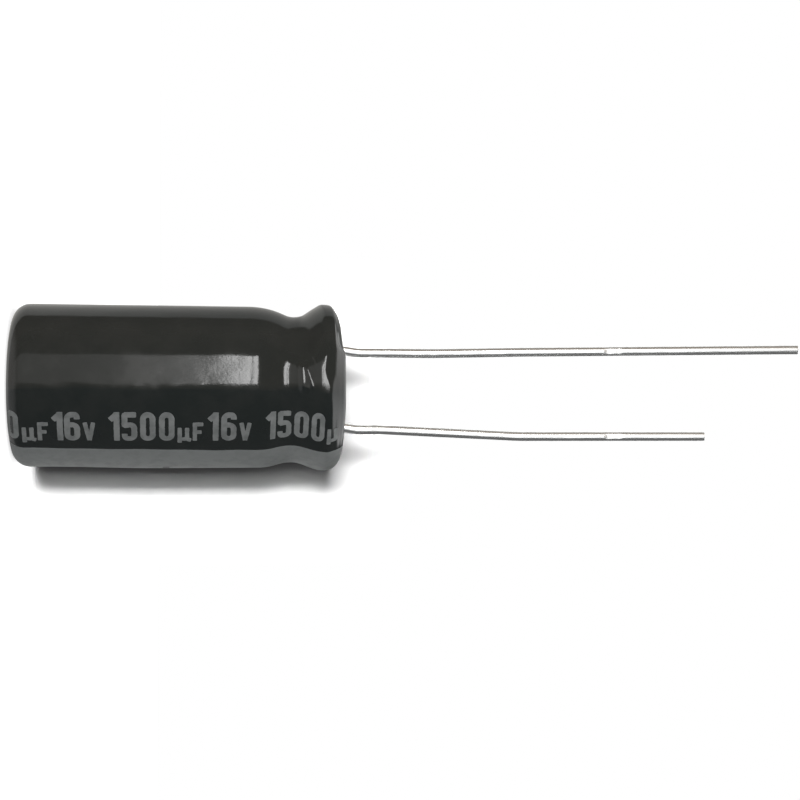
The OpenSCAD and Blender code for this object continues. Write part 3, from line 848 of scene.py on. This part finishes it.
def area_light(name, transverse, axial, radiance, away=300.0, glossy=True, diffuse=True, only=None, blockers=None):
    """A rectangular lamp at a distance from the part. transverse and axial are (from, to) in degrees, seen from the
    part: away from -Y towards -X, and towards +Z. Its power gives the radiance wanted: power = pi area radiance.
    It may light only some objects, and be shaded only by some."""
    t, a = (math.radians(sum(pair) / 2) for pair in (transverse, axial))
    towards = Vector((-math.sin(t) * math.cos(a), -math.cos(t) * math.cos(a), math.sin(a)))
    lamp = bpy.data.lights.new(name, "AREA")
    lamp.shape = "RECTANGLE"
    lamp.size = 2 * away * MM * math.tan(math.radians(transverse[1] - transverse[0]) / 2)
    lamp.size_y = 2 * away * MM * math.tan(math.radians(axial[1] - axial[0]) / 2)
    lamp.energy = math.pi * lamp.size * lamp.size_y * radiance
    holder = bpy.data.objects.new(name, lamp)
    right = Vector((0, 0, 1)).cross(towards).normalized()
    up = towards.cross(right)
    holder.matrix_world = Matrix((right, up, towards)).transposed().to_4x4()
    holder.location = towards * away * MM + Vector((0, 0, LAMPS_AIM_Z * MM))
    holder.visible_camera, holder.visible_glossy, holder.visible_diffuse = False, glossy, diffuse
    bpy.context.scene.collection.objects.link(holder)
    if only:
        holder.light_linking.receiver_collection = linked(name + "_receivers", only)
    if blockers:
        holder.light_linking.blocker_collection = linked(name + "_blockers", blockers)


area_light("key", (-5, 45), (-20, 20), 3.2, glossy=False)
area_light("window_near", (4, 43.5), (1.85, 4.4), 11.5, away=1000.0, diffuse=False)
area_light("window_far", (4, 43.5), (5.4, 11.5), 9.5, away=1000.0, diffuse=False)
area_light("lead_strip", (-34, 49), (2, 34), 1.3, diffuse=False, only=[long_lead, short_lead])
area_light("lead_back", (147, 205), (2, 34), 1.3, diffuse=False, only=[long_lead, short_lead])
# These two reach only the sheet behind the part. They turn it white where the part doesn't shade it
shading = [piece for piece, _, _ in PIECES]
area_light("table_weak", (1.2, 11.6), (-17.4, 6.6), 103.0, away=100.0, glossy=False, only=[table], blockers=shading)
area_light("table_strong", (11.1, 23), (-17.4, 6.6), 900.0, away=100.0, glossy=False, only=[table], blockers=shading)

# What the film mirrors between the dim room and the bright window: steps in brightness, from one angle towards +Z
# in degrees to another
PANE_STEPS = [(0.42, -85.0, -15.0), (0.13, -5.0, -3.2), (0.35, -3.0, -1.9), (0.5, -1.75, -1.4), (0.4, 0.3, 1.5),
              (0.9, 1.3, 1.7)]
# The world's colours. The table's is for below the height of the part and for above it
WHITE = (1, 1, 1, 1)
WARM_SIDE = (0.4, 0.35, 0.3, 1)
DARK_SIDE = (0.16, 0.16, 0.16, 1)
FAR_TABLE = ((0.66, 0.65, 0.62, 1), (0.5, 0.49, 0.47, 1))


def studio_world():
    """White to the camera. What the glossy surfaces see is a room that is warm on the anode's side and dark on the
    cathode's, with the pale table behind the part, a pale ceiling, and a dim pane beside the bright window. What
    the light of the matt surfaces comes from is a plain pale room."""
    world = bpy.data.worlds.new("studio")
    world.use_nodes = True
    tree = world.node_tree
    tree.nodes.clear()
    where = put(tree, "ShaderNodeTexCoord").outputs["Generated"]
    x, y, z = put(tree, "ShaderNodeSeparateXYZ", Vector=where).outputs
    beside = math_node(tree, "ABSOLUTE", x)

    # What lights the matt surfaces
    front = mapped(tree, times(tree, y, -1.0), 0.1, 0.8, 0.24, 0.4)
    level = math_node(tree, "MAXIMUM", front, mapped(tree, y, 0.36, 0.46, 0.0, 0.75))
    level = math_node(tree, "MAXIMUM", level, mapped(tree, z, 0.62, 0.85, 0.0, 0.85))
    matt_room = put(tree, "ShaderNodeBackground", Color=WHITE, Strength=level).outputs[0]

    # What the glossy surfaces mirror: the two sides, the table behind the part, and the light from below
    warm = mixed(tree, 1.0, WARM_SIDE, mapped(tree, y, -0.2, 0.45, 1.0, 0.55), "MULTIPLY")
    sides = mixed(tree, mapped(tree, x, -0.07, 0.09), warm, DARK_SIDE)
    far = mixed(tree, mapped(tree, z, -0.12, 0.03), *FAR_TABLE)
    far = mixed(tree, mapped(tree, x, -0.1, 0.1), far, mapped(tree, z, 0.02, 0.12, 0.42, 0.1))
    room = mixed(tree, mapped(tree, y, 0.38, 0.43), sides, far)
    room = mixed(tree, 1.0, room, mapped(tree, z, -0.9, -0.6, 0.45, 0.0), "ADD")

    # The dim pane beside the window, by its angles across and up in degrees
    across = times(tree, math_node(tree, "ARCTAN2", times(tree, x, -1.0), times(tree, y, -1.0)), 180 / math.pi)
    up = times(tree, math_node(tree, "ARCSINE", z), 180 / math.pi)
    pane = times(tree, mapped(tree, across, 2.2, 5.2), mapped(tree, across, 42.5, 45.5, 1.0, 0.0),
                 mapped(tree, up, 1.75, 1.85, 1.0, 0.0))
    glow = 0.0
    for height, low, high in PANE_STEPS:
        glow = math_node(tree, "ADD", glow, mapped(tree, up, low, high, 0.0, height))
    room = mixed(tree, 1.0, room, times(tree, pane, glow), "ADD")

    # The ceiling, which leaves out what lies behind the part on the anode's side
    behind = times(tree, mapped(tree, y, 0.4, 0.5), mapped(tree, x, -0.3, 0.0, 1.0, 0.0))
    ceiling = times(tree, mapped(tree, z, 0.61, 0.72), mapped(tree, beside, 0.05, 0.5, 1.55, 2.4),
                    math_node(tree, "SUBTRACT", 1.0, behind))
    room = mixed(tree, 1.0, room, ceiling, "ADD")
    glossy_room = put(tree, "ShaderNodeBackground", Color=room, Strength=1.0).outputs[0]

    white = put(tree, "ShaderNodeBackground", Color=WHITE, Strength=1.0).outputs[0]
    path = put(tree, "ShaderNodeLightPath")
    seen = put(tree, "ShaderNodeMixShader", _0=path.outputs["Is Glossy Ray"], _1=matt_room, _2=glossy_room).outputs[0]
    seen = put(tree, "ShaderNodeMixShader", _0=path.outputs["Is Camera Ray"], _1=seen, _2=white).outputs[0]
    put(tree, "ShaderNodeOutputWorld", Surface=seen)
    bpy.context.scene.world = world


studio_world()

# Camera: where it stood, how far it was turned from +Y towards +Z, tipped and rolled, and its focal length in
# widths of the picture. Picture right is +Z and picture up is -X.

CAMERA_AT = (1.535, -88.5, 10.82)
CAMERA_PAN, CAMERA_TIP, CAMERA_ROLL = (math.radians(v) for v in (8.758, 0.475, 0.145))
FOCAL_WIDTHS = 1369.6 / 800
SENSOR_WIDTH = 36.0


def photo_camera():
    """Turns the axes one after the other: right and back by the pan, back and up by the tip, right and up by the
    roll."""
    right, up, back = Vector((0, 0, 1)), Vector((-1, 0, 0)), Vector((0, -1, 0))
    c, s = math.cos(CAMERA_PAN), math.sin(CAMERA_PAN)
    right, back = right * c + back * s, back * c - right * s
    c, s = math.cos(CAMERA_TIP), math.sin(CAMERA_TIP)
    up, back = up * c + back * s, back * c - up * s
    c, s = math.cos(CAMERA_ROLL), math.sin(CAMERA_ROLL)
    right, up = right * c + up * s, up * c - right * s
    eye = bpy.data.cameras.new("photo_camera")
    eye.sensor_width = SENSOR_WIDTH
    eye.lens = SENSOR_WIDTH * FOCAL_WIDTHS
    eye.clip_start, eye.clip_end = 0.005, 10.0
    holder = bpy.data.objects.new("photo_camera", eye)
    holder.matrix_world = Matrix((right, up, back)).transposed().to_4x4()
    holder.location = Vector(CAMERA_AT) * MM
    bpy.context.scene.collection.objects.link(holder)
    bpy.context.scene.camera = holder


photo_camera()
bpy.context.scene.view_settings.view_transform = "Standard"

bpy.context.view_layer.update()
